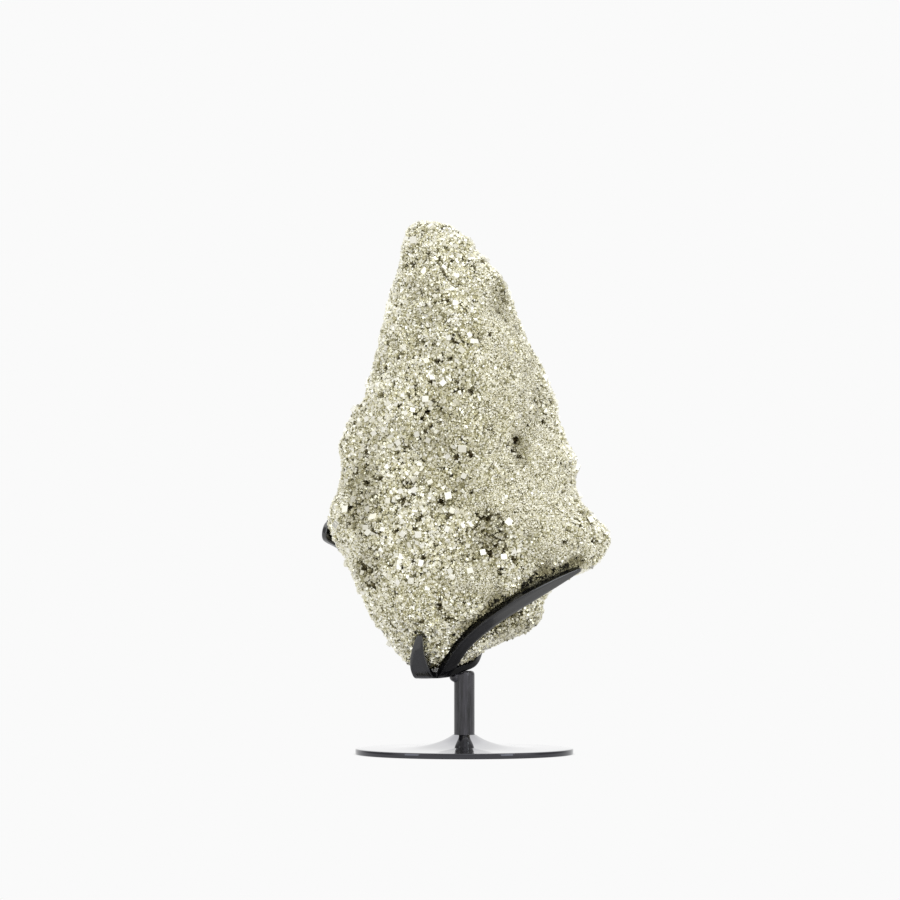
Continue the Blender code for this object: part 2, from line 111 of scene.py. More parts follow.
lens = bpy.data.cameras.new("display_camera")
lens.sensor_width = SENSOR
lens.lens = SENSOR * CAMERA_AWAY / VIEW_WIDTH
lens.clip_end = 30.0
camera = bpy.data.objects.new("display_camera", lens)
bpy.context.scene.collection.objects.link(camera)
camera.location = (VIEW_CENTRE.x, -CAMERA_AWAY, CAMERA_HEIGHT)
camera.rotation_euler = (VIEW_CENTRE - camera.location).to_track_quat("-Z", "Y").to_euler()
bpy.context.scene.camera = camera
bpy.context.scene.view_settings.view_transform = "Standard"
print(f"lens {lens.lens:.0f} mm")

# %% [markdown]
# ## Helpers for materials and meshes
# Node trees are built in code. One function adds any node, sets its settings and fills its
# sockets: a value is typed into the socket and a socket is linked to it. Colours are picked as
# hex values, which are made for screens, so they are turned into the linear light that Cycles
# adds up.

# %% Helpers for materials
def linear(hex_colour):
    """The linear RGBA colour of an sRGB hex value such as '#D9D6BE'."""
    channels = [int(hex_colour[i:i + 2], 16) / 255 for i in (1, 3, 5)]
    return (*[c / 12.92 if c <= 0.04045 else ((c + 0.055) / 1.055) ** 2.4 for c in channels], 1.0)


def add_node(tree, kind, inputs=None, **settings):
    """Adds a node; inputs maps a socket's name or number to a value or to another node's socket."""
    made = tree.nodes.new(kind)
    for name, value in settings.items():
        setattr(made, name, value)
    for key, value in (inputs or {}).items():
        if isinstance(value, bpy.types.NodeSocket):
            tree.links.new(value, made.inputs[key])
        else:
            made.inputs[key].default_value = value
    return made


def new_material(name, **sockets):
    """A material, its node tree and its Principled shader with some sockets set."""
    material = bpy.data.materials.new(name)
    material.use_nodes = True
    shader = material.node_tree.nodes["Principled BSDF"]
    for socket, value in sockets.items():
        shader.inputs[socket.replace("_", " ")].default_value = value
    return material, material.node_tree, shader


def ramp(tree, factor, stops):
    """A colour ramp through (place, hex colour) stops; returns its colour socket."""
    made = add_node(tree, "ShaderNodeValToRGB", {"Fac": factor})
    band = made.color_ramp
    while len(band.elements) < len(stops):
        band.elements.new(1.0)
    for element, (place, colour) in zip(band.elements, stops):
        element.position = place
        element.color = linear(colour)
    return made.outputs["Color"]


print("white is", linear("#FFFFFF"))

# %% [markdown]
# Meshes are edited as bmesh, Blender's edit mesh in code. A CAD node comes as loose triangles, so
# its copy is merged first; the node itself is never touched.

# %% Helpers for meshes
MERGE_WITHIN = 0.004 * MM


def new_object(name, mesh):
    """An object that shows a mesh, linked to the scene."""
    made = bpy.data.objects.new(name, mesh)
    bpy.context.scene.collection.objects.link(made)
    return made


def object_from(bm, name):
    """An object with an edit mesh in it, which is freed."""
    mesh = bpy.data.meshes.new(name)
    bm.to_mesh(mesh)
    bm.free()
    mesh.materials.clear()
    return new_object(name, mesh)


def cad_bmesh(node):
    """A CAD node as an edit mesh with its loose triangles merged."""
    bm = bmesh.new()
    bm.from_mesh(frame["nodes"][node].data)
    bmesh.ops.remove_doubles(bm, verts=bm.verts, dist=MERGE_WITHIN)
    return bm


def applied(obj):
    """Turns what an object's modifiers make into its plain mesh."""
    graph = bpy.context.evaluated_depsgraph_get()
    obj.data = bpy.data.meshes.new_from_object(obj.evaluated_get(graph), depsgraph=graph)
    obj.modifiers.clear()
    return obj


def triangles(obj):
    """How many triangles an object's faces make."""
    return sum(len(polygon.vertices) - 2 for polygon in obj.data.polygons)


print("the CAD's stone has", len(frame["nodes"]["pyrite_cluster"].data.polygons), "faces")

# %% [markdown]
# ## The studio
# The stone stands on a pale floor that runs into a pale wall with no line between them. The floor gives off
# its own even light, like a sheet of white acrylic lit from below, and a painted contact shadow darkens it a
# little where the base stands. The room's light comes from all round: a little stronger above and on the
# right, and weakest behind the camera. Crystal faces are small mirrors: in such an even room most look light,
# and the gaps between them, with painted shade in them, make the dark marks. Softboxes and one small lamp are
# what the faces that lean their way flash back. Two black cards at the sides give the round and polished
# pieces dark edges, as is done for glass and metal.

# %% Floor
PALE = "#FAFAFA"
PAINTED_CONTACT_SHADOW = "#B9B9B9"         # painted contact shadow: the floor's colour where something stands on it
FLOOR_RADIUS = 6.0
CONTACT_REACH = 0.012       # metres over which the painted contact shadow darkens the floor beside what stands on it

acrylic = bpy.data.materials.new("glowing_floor_painted_shadow")
acrylic.use_nodes = True
tree = acrylic.node_tree
tree.nodes.clear()
# Painted contact shadow: ambient occlusion darkens the floor's glow beside what stands on it.
painted_shadow = add_node(tree, "ShaderNodeAmbientOcclusion", {"Distance": CONTACT_REACH}, samples=8)
glow = ramp(tree, painted_shadow.outputs["AO"], ((0.0, PAINTED_CONTACT_SHADOW), (0.75, PALE)))
light = add_node(tree, "ShaderNodeEmission", {"Color": glow, "Strength": 1.0})
add_node(tree, "ShaderNodeOutputMaterial", {"Surface": light.outputs[0]})

bm = bmesh.new()
bmesh.ops.create_circle(bm, cap_ends=True, segments=64, radius=FLOOR_RADIUS)
floor = object_from(bm, "floor")
floor.data.materials.append(acrylic)
floor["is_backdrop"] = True
print("floor radius", FLOOR_RADIUS, "m")

# %% Brightness of the room by direction
ROOM = 1.24                 # brightness of the walls at eye height
ROOM_TOP = 0.08             # how much brighter the ceiling is
ROOM_RIGHT = 0.06           # how much brighter the right wall is, and darker the left one
CAMERA_SIDE = 0.29          # how much of the light is missing right behind the camera
CAMERA_CONE = (-0.2, -1.0)  # Y of the directions in which that light fades out

world = bpy.data.worlds.new("studio")
world.use_nodes = True
bpy.context.scene.world = world
tree = world.node_tree
tree.nodes.clear()
place = add_node(tree, "ShaderNodeTexCoord")
way = add_node(tree, "ShaderNodeSeparateXYZ", {0: place.outputs["Generated"]})
upward = add_node(tree, "ShaderNodeMath", {0: way.outputs["Z"], 1: ROOM_TOP, 2: ROOM},
                  operation="MULTIPLY_ADD")
level = add_node(tree, "ShaderNodeMath", {0: way.outputs["X"], 1: ROOM_RIGHT, 2: upward.outputs[0]},
                 operation="MULTIPLY_ADD")
toward = add_node(tree, "ShaderNodeMapRange", {"Value": way.outputs["Y"], "From Min": CAMERA_CONE[0],
                                               "From Max": CAMERA_CONE[1], "To Min": 1.0,
                                               "To Max": 1.0 - CAMERA_SIDE})
empty_room = add_node(tree, "ShaderNodeMath", {0: level.outputs[0], 1: toward.outputs[0]},
                      operation="MULTIPLY")
print("room light", ROOM, "at eye height,", ROOM + ROOM_TOP, "overhead")

# %% [markdown]
# The black cards stand at the left and right of the stone. A direction sees one if it points far
# enough aside, far enough back and not too high, so a card is a product of three ranges. The wall
# behind is made the same way.

# %% Black cards
FLAGS = 0.6                 # how much of the light the cards take away
CARD_ASIDE = (0.5, 0.7)     # X of a direction at which a card begins, and at which it is full
CARD_BACK = (-0.35, -0.05)  # the same for Y
CARD_LOW = (0.6, 0.35)      # and for Z


def all_ranges(tree, ranges):
    """1 where each value is past the end of its range, 0 where one is before its start."""
    product = 1.0
    for value, (start, end) in ranges:
        share = add_node(tree, "ShaderNodeMapRange", {"Value": value, "From Min": start, "From Max": end})
        product = add_node(tree, "ShaderNodeMath", {0: product, 1: share.outputs[0]},
                           operation="MULTIPLY").outputs[0]
    return product


aside = add_node(tree, "ShaderNodeMath", {0: way.outputs["X"]}, operation="ABSOLUTE")
card = all_ranges(tree, ((aside.outputs[0], CARD_ASIDE), (way.outputs["Y"], CARD_BACK),
                         (way.outputs["Z"], CARD_LOW)))
left_over = add_node(tree, "ShaderNodeMath", {0: card, 1: -FLAGS, 2: 1.0}, operation="MULTIPLY_ADD")
with_cards = add_node(tree, "ShaderNodeMath", {0: empty_room.outputs[0], 1: left_over.outputs[0]},
                      operation="MULTIPLY")
print(f"the cards leave {1 - FLAGS:.0%} of the light")

# %% The wall behind
BACKDROP = 1.05             # its brightness for the pieces that mirror it
BACKDROP_BACK = (0.5, 0.9)
BACKDROP_LOW = (0.45, 0.2)

backdrop = all_ranges(tree, ((way.outputs["Y"], BACKDROP_BACK), (way.outputs["Z"], BACKDROP_LOW)))
room = add_node(tree, "ShaderNodeMix", {"Factor": backdrop, "A": with_cards.outputs[0], "B": BACKDROP},
                data_type="FLOAT")
around = add_node(tree, "ShaderNodeBackground", {"Color": linear("#FFFFFF"), "Strength": room.outputs[0]})
wall = add_node(tree, "ShaderNodeBackground", {"Color": linear(PALE), "Strength": 1.0})
ray = add_node(tree, "ShaderNodeLightPath")
seen = add_node(tree, "ShaderNodeMixShader", {0: ray.outputs["Is Camera Ray"], 1: around.outputs[0],
                                              2: wall.outputs[0]})
add_node(tree, "ShaderNodeOutputWorld", {"Surface": seen.outputs[0]})
print("the camera sees a wall of", PALE)

# %% Softboxes
# name, place in metres, width, height, watts
SOFTBOXES = (
    ("softbox_front", (0.34, -1.22, 1.05), 0.8, 0.65, 1.0),
    ("softbox_above", (0.1, -0.2, 1.5), 1.6, 1.3, 2.6),
    ("softbox_right", (1.15, -1.15, 0.5), 0.4, 1.2, 2.6),
    ("softbox_left", (-1.3, -0.85, 0.3), 0.45, 0.9, 2.1),
    ("spotlight_right", (1.09, -0.72, 1.09), 0.26, 0.26, 1.6),
)
AIM = Vector((0.0, 0.0, 0.13))
COOL_WHITE = (0.88, 0.94, 1.0)
for name, at, wide, high, watts in SOFTBOXES:
    lamp = bpy.data.lights.new(name, "AREA")
    lamp.shape = "RECTANGLE"
    lamp.size = wide
    lamp.size_y = high
    lamp.energy = watts
    lamp.color = COOL_WHITE
    box = bpy.data.objects.new(name, lamp)
    bpy.context.scene.collection.objects.link(box)
    box.location = at
    box.rotation_euler = (AIM - Vector(at)).to_track_quat("-Z", "Y").to_euler()
print(len(SOFTBOXES), "softboxes")

# %% [markdown]
# ## What pyrite looks like
# Pyrite is an iron sulphide with the lustre of a metal: pale brass on a fresh face. So it is a metallic
# shader, and its colour is the colour of its reflections. Each crystal gets its own number from 0 to 1,
# stored on its points, which shifts its colour and polish a little, because neighbouring crystals tarnish
# differently. Light that bounces between faces picks the colour up again each time, which is why the gaps of
# a druse look olive. Two more numbers draw the colour toward a dull film, which also carries painted light
# and shade, and say how likely it is that a crystal is painted near-black for black enamel and for the shade
# beside the long prong.

# %% Crystal finishes
# Olive of the film, for tarnish and for painted shade.
TARNISH_AND_SHADE_OLIVE = "#8F8867"
ENAMEL_AND_SHADE_BLACK = "#2E2C26"
BRASS_PALE = ((0.0, "#D6D2B7"), (0.4, "#E9E6D3"), (0.8, "#F0EEE2"), (1.0, "#F7F5EC"))
BRASS_SUGAR = ((0.0, "#E2DEC8"), (0.5, "#ECE9D9"), (1.0, "#F5F3E9"))
BRASS_CLEAN = ((0.0, "#D9D5BE"), (0.5, "#E6E3D2"), (1.0, "#F4F2E8"))
DENT_WIDE = 0.9 * MM        # width of the shallow dents of a large face


def pyrite_material(name, stops, polished, worn, dent_deep=0.0):
    """Crystals whose colour and roughness follow the number that is stored on each."""
    material, tree, shader = new_material(name, Metallic=1.0)
    own = add_node(tree, "ShaderNodeAttribute", attribute_name="crystal")
    tarnish_and_light_amount = add_node(tree, "ShaderNodeAttribute", attribute_name="tarnish_and_painted_light")
    chance = add_node(tree, "ShaderNodeAttribute", attribute_name="enamel_and_shade")
    hit = add_node(tree, "ShaderNodeMath", {0: chance.outputs["Fac"], 1: own.outputs["Fac"]},
                   operation="GREATER_THAN")
    brass = ramp(tree, own.outputs["Fac"], stops)
    colour = add_node(tree, "ShaderNodeMix", {"Factor": tarnish_and_light_amount.outputs["Fac"], "A": brass,
                                              "B": linear(TARNISH_AND_SHADE_OLIVE)}, data_type="RGBA")
    # Near-black for enamel, and as painted shade beside the long prong.
    final = add_node(tree, "ShaderNodeMix", {"Factor": hit.outputs[0], "A": colour.outputs["Result"],
                                             "B": linear(ENAMEL_AND_SHADE_BLACK)}, data_type="RGBA")
    tree.links.new(final.outputs["Result"], shader.inputs["Base Color"])
    gloss = add_node(tree, "ShaderNodeMapRange", {"Value": own.outputs["Fac"], "To Min": polished,
                                                  "To Max": worn})
    tree.links.new(gloss.outputs[0], shader.inputs["Roughness"])
    if dent_deep:
        place = add_node(tree, "ShaderNodeTexCoord")
        uneven = add_node(tree, "ShaderNodeTexNoise", {"Vector": place.outputs["Object"],
                                                       "Scale": 1 / DENT_WIDE, "Detail": 2.0})
        bump = add_node(tree, "ShaderNodeBump", {"Height": uneven.outputs["Fac"],
                                                 "Distance": dent_deep, "Strength": 1.0})
        tree.links.new(bump.outputs[0], shader.inputs["Normal"])
    return material


crystal_finish = pyrite_material("pyrite_crystal_faces", BRASS_PALE, 0.16, 0.4)
sugar_finish = pyrite_material("pyrite_fine_sugar", BRASS_SUGAR, 0.42, 0.7)
large_finish = pyrite_material("pyrite_large_cubes", BRASS_CLEAN, 0.14, 0.3, dent_deep=0.02 * MM)
print("crystal finishes:", [finish.name for finish in (crystal_finish, sugar_finish, large_finish)])

# %% [markdown]
# Between the crystals lie grains too small to model. Cells of noise stand for them: each tilts the surface
# its own way. In the pits and gaps their colour is drawn toward rust brown: partly rust, partly painted
# shade.

# %% Matrix between the crystals
CELL = 0.7 * MM
CELL_TILT = 1.5             # how strongly the cells tilt the surface
MATRIX_BRASS = ((0.0, "#8A8460"), (0.5, "#AAA583"), (1.0, "#CDC9AC"))
PIT_RUST_AND_SHADE = "#4C4129"
MIDDLE_GREY = (0.5, 0.5, 0.5)       # taken from a colour, it leaves a direction

matrix_finish, tree, shader = new_material("pyrite_matrix_rust_and_pit_shade", Metallic=1.0, Roughness=0.42)
place = add_node(tree, "ShaderNodeTexCoord")
cells = add_node(tree, "ShaderNodeTexVoronoi", {"Vector": place.outputs["Object"], "Scale": 1 / CELL})
facing = add_node(tree, "ShaderNodeNewGeometry")
lean = add_node(tree, "ShaderNodeVectorMath", {0: cells.outputs["Color"], 1: MIDDLE_GREY},
                operation="SUBTRACT")
push = add_node(tree, "ShaderNodeVectorMath", {0: lean.outputs[0], "Scale": CELL_TILT}, operation="SCALE")
tilted = add_node(tree, "ShaderNodeVectorMath", {0: facing.outputs["Normal"], 1: push.outputs[0]},
                  operation="ADD")
unit = add_node(tree, "ShaderNodeVectorMath", {0: tilted.outputs[0]}, operation="NORMALIZE")
tree.links.new(unit.outputs[0], shader.inputs["Normal"])
number = add_node(tree, "ShaderNodeSeparateColor", {0: cells.outputs["Color"]})
# Pits and gaps: rust brown, partly rust and partly painted shade.
deep = add_node(tree, "ShaderNodeAttribute", attribute_name="pit")
dark = add_node(tree, "ShaderNodeMix", {"Factor": deep.outputs["Fac"],
                                        "A": ramp(tree, number.outputs[0], MATRIX_BRASS),
                                        "B": linear(PIT_RUST_AND_SHADE)}, data_type="RGBA")
tree.links.new(dark.outputs["Result"], shader.inputs["Base Color"])
print("cells of", round(CELL / MM, 2), "mm between the crystals")

# %% [markdown]
# ## The body of the druse
# The CAD solid carries the lumps, hollows and largest crystals. A voxel remesh of it gives an even
# net of small faces, which can be pushed in and out: a little deeper than the solid, because the
# crystals that are grown on it later have to end where the solid does, and with pits where the
# crust has gaps.

# %% Body mesh
BODY_VOXEL = 0.95 * MM
BODY_SMOOTHED = 2           # rounds that take off the steps of the voxels
MOVED = 0.5                 # how far each round moves a point toward its neighbours' middle


def even_net(node, name, voxel, rounds):
    """A CAD node as a net of small even faces."""
    made = object_from(cad_bmesh(node), name)
    remesh = made.modifiers.new("even_net", "REMESH")
    remesh.mode = "VOXEL"
    remesh.voxel_size = voxel
    even = made.modifiers.new("even_out", "SMOOTH")
    even.factor = MOVED
    even.iterations = rounds
    return applied(made)


body = even_net("pyrite_cluster", "pyrite_body", BODY_VOXEL, BODY_SMOOTHED)
print("body:", triangles(body), "triangles")

# %% [markdown]
# ## Where the pits are
# Pits are holes of a few millimetres where crystals broke out. The deep ones of the display side are listed,
# and a ray finds the surface behind each place. The rest of the stone gets pits on faces that are drawn at
# random.

# %% Pits
# Pits of the display side: x and height in mm, then radius and depth in mm.
FRONT_PITS = (
    (-11.7, 166.2, 1.6, 2.2), (-15.5, 169.6, 1.2, 2.0), (-17.6, 164.6, 1.3, 2.0), (-20.0, 161.5, 1.2, 1.8),
    (-16.5, 158.0, 1.3, 2.0), (-18.8, 154.6, 1.2, 2.0), (-21.3, 151.8, 1.1, 1.6), (-24.2, 177.3, 1.2, 1.8),
    (-16.5, 179.2, 1.6, 2.0), (7.3, 198.7, 1.2, 1.8), (12.4, 201.8, 1.3, 1.8), (15.8, 224.0, 1.2, 1.8),
    (19.0, 219.0, 1.4, 2.0), (17.0, 213.0, 1.1, 1.6), (21.0, 208.5, 1.4, 2.0), (25.2, 150.7, 1.8, 3.2),
    (24.0, 146.5, 1.9, 3.2), (26.4, 143.4, 1.5, 2.4), (-25.2, 235.2, 1.4, 2.2), (-26.0, 230.0, 1.1, 1.8),
    (-45.3, 88.6, 1.5, 2.4), (-46.5, 84.0, 1.4, 2.2), (14.9, 100.7, 1.4, 2.0), (45.1, 143.0, 0.9, 1.8),
    (57.0, 116.8, 1.6, 2.4), (60.5, 113.5, 1.4, 2.0), (-56.3, 110.6, 1.5, 2.0), (-42.0, 137.0, 1.2, 1.8),
    (30.0, 190.0, 1.1, 1.6), (40.0, 168.0, 1.3, 1.8), (38.5, 160.0, 1.2, 1.6), (36.0, 181.0, 0.9, 1.4),
    (-32.0, 190.0, 1.2, 1.6), (-50.0, 126.0, 1.3, 2.0), (3.0, 126.0, 1.2, 1.8), (-33.0, 108.0, 1.4, 2.0),
    (-10.0, 121.0, 1.2, 1.8), (-20.0, 96.0, 1.3, 2.0), (11.5, 113.0, 1.3, 2.2), (17.5, 107.0, 1.4, 2.2),
    (8.5, 107.5, 1.1, 1.8), (20.0, 98.5, 1.3, 2.0), (23.5, 104.0, 1.1, 1.8), (12.5, 95.5, 1.2, 1.8),
    (5.5, 116.0, 1.2, 1.8), (-13.5, 168.2, 1.3, 2.4), (33.0, 196.0, 1.3, 2.0), (27.0, 205.0, 1.2, 1.8),
    (38.0, 178.0, 1.4, 2.2), (22.0, 186.0, 1.2, 1.8), (43.0, 163.0, 1.6, 2.4), (42.0, 157.0, 1.3, 2.0),
    (31.0, 158.0, 1.1, 1.6), (47.0, 140.0, 1.2, 1.8), (52.0, 131.0, 1.1, 1.6), (-30.0, 141.0, 1.3, 1.8),
    (0.0, 146.0, 1.0, 1.5), (-7.0, 190.0, 1.1, 1.6), (-15.0, 197.0, 1.1, 1.6),
)
RAY_START = -200            # y in mm, well in front of the stone
OTHER_PITS = 90             # more of them, anywhere on the stone
PIT_RADIUS = (0.9, 2.2)     # theirs, in mm
PIT_DEPTH = 1.2             # as a share of the radius
PIT_SEED = 4

probe = BVHTree.FromObject(body, bpy.context.evaluated_depsgraph_get())
pits = []
for x, height, radius, depth in FRONT_PITS:
    hit = probe.ray_cast(Vector((x, RAY_START, height)) * MM, Vector((0, 1, 0)))[0]
    if hit:
        pits.append((hit, radius * MM, depth * MM))
dice = random.Random(PIT_SEED)
for polygon in dice.sample(list(body.data.polygons), OTHER_PITS):
    radius = dice.uniform(*PIT_RADIUS) * MM
    pits.append((polygon.center.copy(), radius, PIT_DEPTH * radius))
print(len(pits), "pits")

# %% [markdown]
# ## Numbers for every point
# The pushing works on all points of the body at once, as arrays. Near the claw the body keeps to
# the solid, which was grooved to stay clear of the steel.

# %% Points of the body
STEEL_REACH = 3.0 * MM      # from here on the body is free to move
HELD = 0.3                  # share of that reach in which it isn't moved at all


def point_values(mesh, name):
    """The places or normals of a mesh's points, in rows of three."""
    values = np.empty(len(mesh.vertices) * 3)
    mesh.vertices.foreach_get(name, values)
    return values.reshape(-1, 3)


points = point_values(body.data, "co")
normals = point_values(body.data, "normal")
claw_tree = BVHTree.FromObject(frame["nodes"]["claw_cradle"], bpy.context.evaluated_depsgraph_get())
to_claw = np.array([claw_tree.find_nearest(Vector(p))[3] for p in points])
free = np.clip(to_claw / STEEL_REACH - HELD, 0.0, 1.0)
in_front = points[:, 1] < 0
print(len(points), "points,", int((free < 1).sum()), "of them held back by the claw")

# %% [markdown]
# Some places of a druse are cracked, others clean, others dull. The clean places are painted light: they have
# less film where more light falls, along the ridge, at the lower left and at the top. Some dull places are
# painted shade, such as the middle of the front. Each is an ellipse on the display side with a soft edge.
# Noise of a given width does the rest.

# %% Patches and noise
# Each patch: x, height, half width and half height in mm.
CRACKED_PATCHES = ((13, 106, 11, 12), (-48, 122, 10, 20), (24, 66, 22, 9), (-44, 90, 8, 14),
                   (57, 115, 8, 6), (36, 165, 6, 12))
# Painted light: less film where more light falls.
PAINTED_LIGHT_PATCHES = ((-22, 72, 26, 26), (-20, 244, 18, 16), (13, 199, 6, 12), (9, 172, 6, 20), (17, 144, 7, 14),
                 (30, 126, 9, 11), (44, 110, 12, 9), (-14, 110, 20, 6))
TARNISHED_PATCHES = ((13, 106, 10, 11), (-48, 122, 9, 24), (16, 220, 5, 11), (-46, 88, 8, 10),
                     (26, 147, 6, 9), (30, 60, 20, 10))
# Dull film, and painted shade in the middle of the front.
DULL_AND_SHADED_PATCHES = ((-8, 148, 15, 34), (-20, 222, 10, 16), (-38, 190, 9, 14), (34, 176, 7, 20), (4, 92, 20, 7))
FINE_PATCHES = ((29, 168, 25, 60), (32, 124, 34, 22), (4, 84, 16, 12), (17, 200, 12, 30), (50, 96, 24, 16))
COARSE_PATCHES = ((-20, 108, 40, 30), (-32, 150, 22, 34), (-4, 188, 12, 22), (14, 98, 16, 12))
PATCH_PEAK = 2.2            # strength in the middle of a patch, before it is cut off at 1
PATCH_FALL = 2.0            # how much of it is lost by the patch's outline


def in_patches(patches):
    """1 inside the patches, 0 outside, with a soft edge."""
    best = np.zeros(len(points))
    for x, height, half_wide, half_high in patches:
        reach = np.hypot((points[:, 0] / MM - x) / half_wide, (points[:, 2] / MM - height) / half_high)
        best = np.maximum(best, np.clip(PATCH_PEAK - PATCH_FALL * reach, 0.0, 1.0))
    return best


def noise_at(width, shift=(0, 0, 0)):
    """Smooth noise from about -1 to 1 at each point; another shift gives another pattern."""
    return np.array([noise.noise(Vector(p) / width + Vector(shift)) for p in points])


in_cracked = in_patches(CRACKED_PATCHES) * in_front
in_fine = in_patches(FINE_PATCHES) * in_front
print(f"cracked {in_cracked.mean():.1%}, fine {in_fine.mean():.1%} of the points")

# %% Lumps
SUNK = 0.75 * MM            # how far the body lies below the tips of its crystals
LEAST_SUNK = 0.3 * MM
LUMPS = ((1.5 * MM, 7.5 * MM), (0.7 * MM, 3.2 * MM), (0.3 * MM, 1.7 * MM))  # how far, and how wide

inward = np.full(len(points), SUNK)
for amount, width in LUMPS:
    inward += amount * noise_at(width)
inward = np.maximum(inward, LEAST_SUNK)
print(f"lumps lie {inward.min() / MM:.2f} to {inward.max() / MM:.2f} mm deep")

# %% [markdown]
# Gaps of the crust are blotches, where noise is high. Its cracks are the thin lines along which
# another noise passes through zero, but only in some places.

# %% Gaps and cracks of the crust
GAP_WIDE = (3.4 * MM, 1.6 * MM)     # widths of the blotches
GAP_FINER = 0.6             # how much the narrower blotches count
GAP_SHIFT = (8, 2, 6)
GAP_FROM, GAP_FULL = 0.52, 0.72     # height of that noise at which a gap begins and is full
GAPS_MORE = 0.2             # how much more of it there is in the cracked patches
CRACK_WIDE = 6.0 * MM       # size of the cells between which the cracks run
CRACK_SHIFT = (1, 5, 3)
CRACK_HALF = 0.085          # how far from the middle of a crack its side lies, as noise
CRACK_STEEP = 1.6           # over 1, the crack has a flat bottom
CRACKING_WIDE = 1.3 * CRACK_WIDE
CRACKING_SHIFT = (6, 0, 9)
CRACKS_FROM, CRACKS_FULL = -0.12, 0.2    # only where this other noise is so high is there a crack
CRACKS_MORE = 0.4
GAPS_IN_FINE = 0.5          # how much of all this is left where the crust is fine

blotches = noise_at(GAP_WIDE[0], GAP_SHIFT) + GAP_FINER * noise_at(GAP_WIDE[1], GAP_SHIFT)
gap = np.clip((blotches + GAPS_MORE * in_cracked - GAP_FROM) / (GAP_FULL - GAP_FROM), 0.0, 1.0)
crack = np.clip(CRACK_STEEP - CRACK_STEEP * np.abs(noise_at(CRACK_WIDE, CRACK_SHIFT)) / CRACK_HALF, 0.0, 1.0)
crack *= np.clip((noise_at(CRACKING_WIDE, CRACKING_SHIFT) + CRACKS_MORE * in_cracked - CRACKS_FROM)
                 / (CRACKS_FULL - CRACKS_FROM), 0.0, 1.0)
gap = np.maximum(gap, crack)
gap *= 1 - (1 - GAPS_IN_FINE) * in_fine * (1 - in_cracked)
print(f"gaps and cracks on {(gap > 0.5).mean():.1%} of the points")

# %% Push the body in
GAP_DEEP = 1.6 * MM
GAP_AS_PIT = 0.85           # a gap is this much of a pit: nearly as bare, and nearly as dark with rust and painted shade
PIT_END = 1.35              # where the rim of a pit ends, as a share of its radius

inward += GAP_DEEP * gap
pit = GAP_AS_PIT * gap
for centre, radius, depth in pits:
    share = np.clip(PIT_END - np.linalg.norm(points - np.array(centre), axis=1) / radius, 0.0, 1.0)
    share = share * share * (3 - 2 * share)     # a smooth step, level at both ends
    inward = np.maximum(inward, SUNK + share * depth)
    pit = np.maximum(pit, share)
points -= normals * (inward * free)[:, None]
body.data.vertices.foreach_set("co", points.ravel())
body.data.update()
pit *= free
print(f"pushed in by {inward.min() / MM:.2f} to {inward.max() / MM:.2f} mm")

# %% [markdown]
# ## The largest cubes
# The biggest crystals are in the solid already, but the remesh rounds them. Each complete square
# face of the solid says where one is: its normal, the direction of its edges and its size. A crisp
# cube is set on each, a little smaller and lower so that small crystals close in on it, with
# worn edges and a low step on its face, because pyrite cubes grow in layers.

# %% Find the square faces of the solid
FLAT_WITHIN = math.radians(0.5)     # triangles that meet under this angle are one face
CORNER_SLACK = math.radians(1.0)
SQUARE_AREA = (6.0, 60.0)   # mm2
SHRUNK = 0.84               # of the solid's edge: the rim of each is overgrown by small crystals
LOWERED = 0.3 * MM
APART = 0.3                 # two faces whose cubes lie nearer than this share are of one crystal

bm = cad_bmesh("pyrite_cluster")
bmesh.ops.dissolve_limit(bm, angle_limit=FLAT_WITHIN, verts=bm.verts, edges=bm.edges)
cubes = []
for face in bm.faces:
    corners = [loop for loop in face.loops if abs(loop.calc_angle() - math.pi) > 2 * CORNER_SLACK]
    square = all(abs(loop.calc_angle() - math.pi / 2) < CORNER_SLACK for loop in corners)
    area = face.calc_area() / MM ** 2
    if len(corners) != 4 or not square or not SQUARE_AREA[0] < area < SQUARE_AREA[1]:
        continue
    a, b, c, _ = [loop.vert.co.copy() for loop in corners]
    wide, high = (b - a).length * SHRUNK, (c - b).length * SHRUNK
    thick = (wide + high) / 2
    normal = face.normal.copy()
    along = (b - a).normalized()
    turn = Matrix((along, normal.cross(along), normal)).transposed()
    centre = (a + c) / 2 - normal * (LOWERED + thick / 2)
    if all((centre - other[0]).length > APART * thick for other in cubes):
        cubes.append((centre, turn, (wide, high, thick)))
bm.free()
print(len(cubes), "large cubes")

# %% Model the large cubes
CUBE_SEED = 21
CUBE_EDGE = 0.13 * MM       # bevel of a cube
CUBE_NUMBER = (0.35, 1.0)   # large crystals are among the paler ones
WHOLE_FACE = 0.3            # least area of a face beside the bevels, as a share of the square
STEP_CHANCE = 0.6           # of a growth step on a face
STEP_INSET = (0.12, 0.3)    # how far in it begins, as a share of the edge
STEP_SLIDE = 0.5            # how far it may lie off the middle, as a share of that
STEP_HIGH, STEP_WIDE = 0.10 * MM, 0.02 * MM

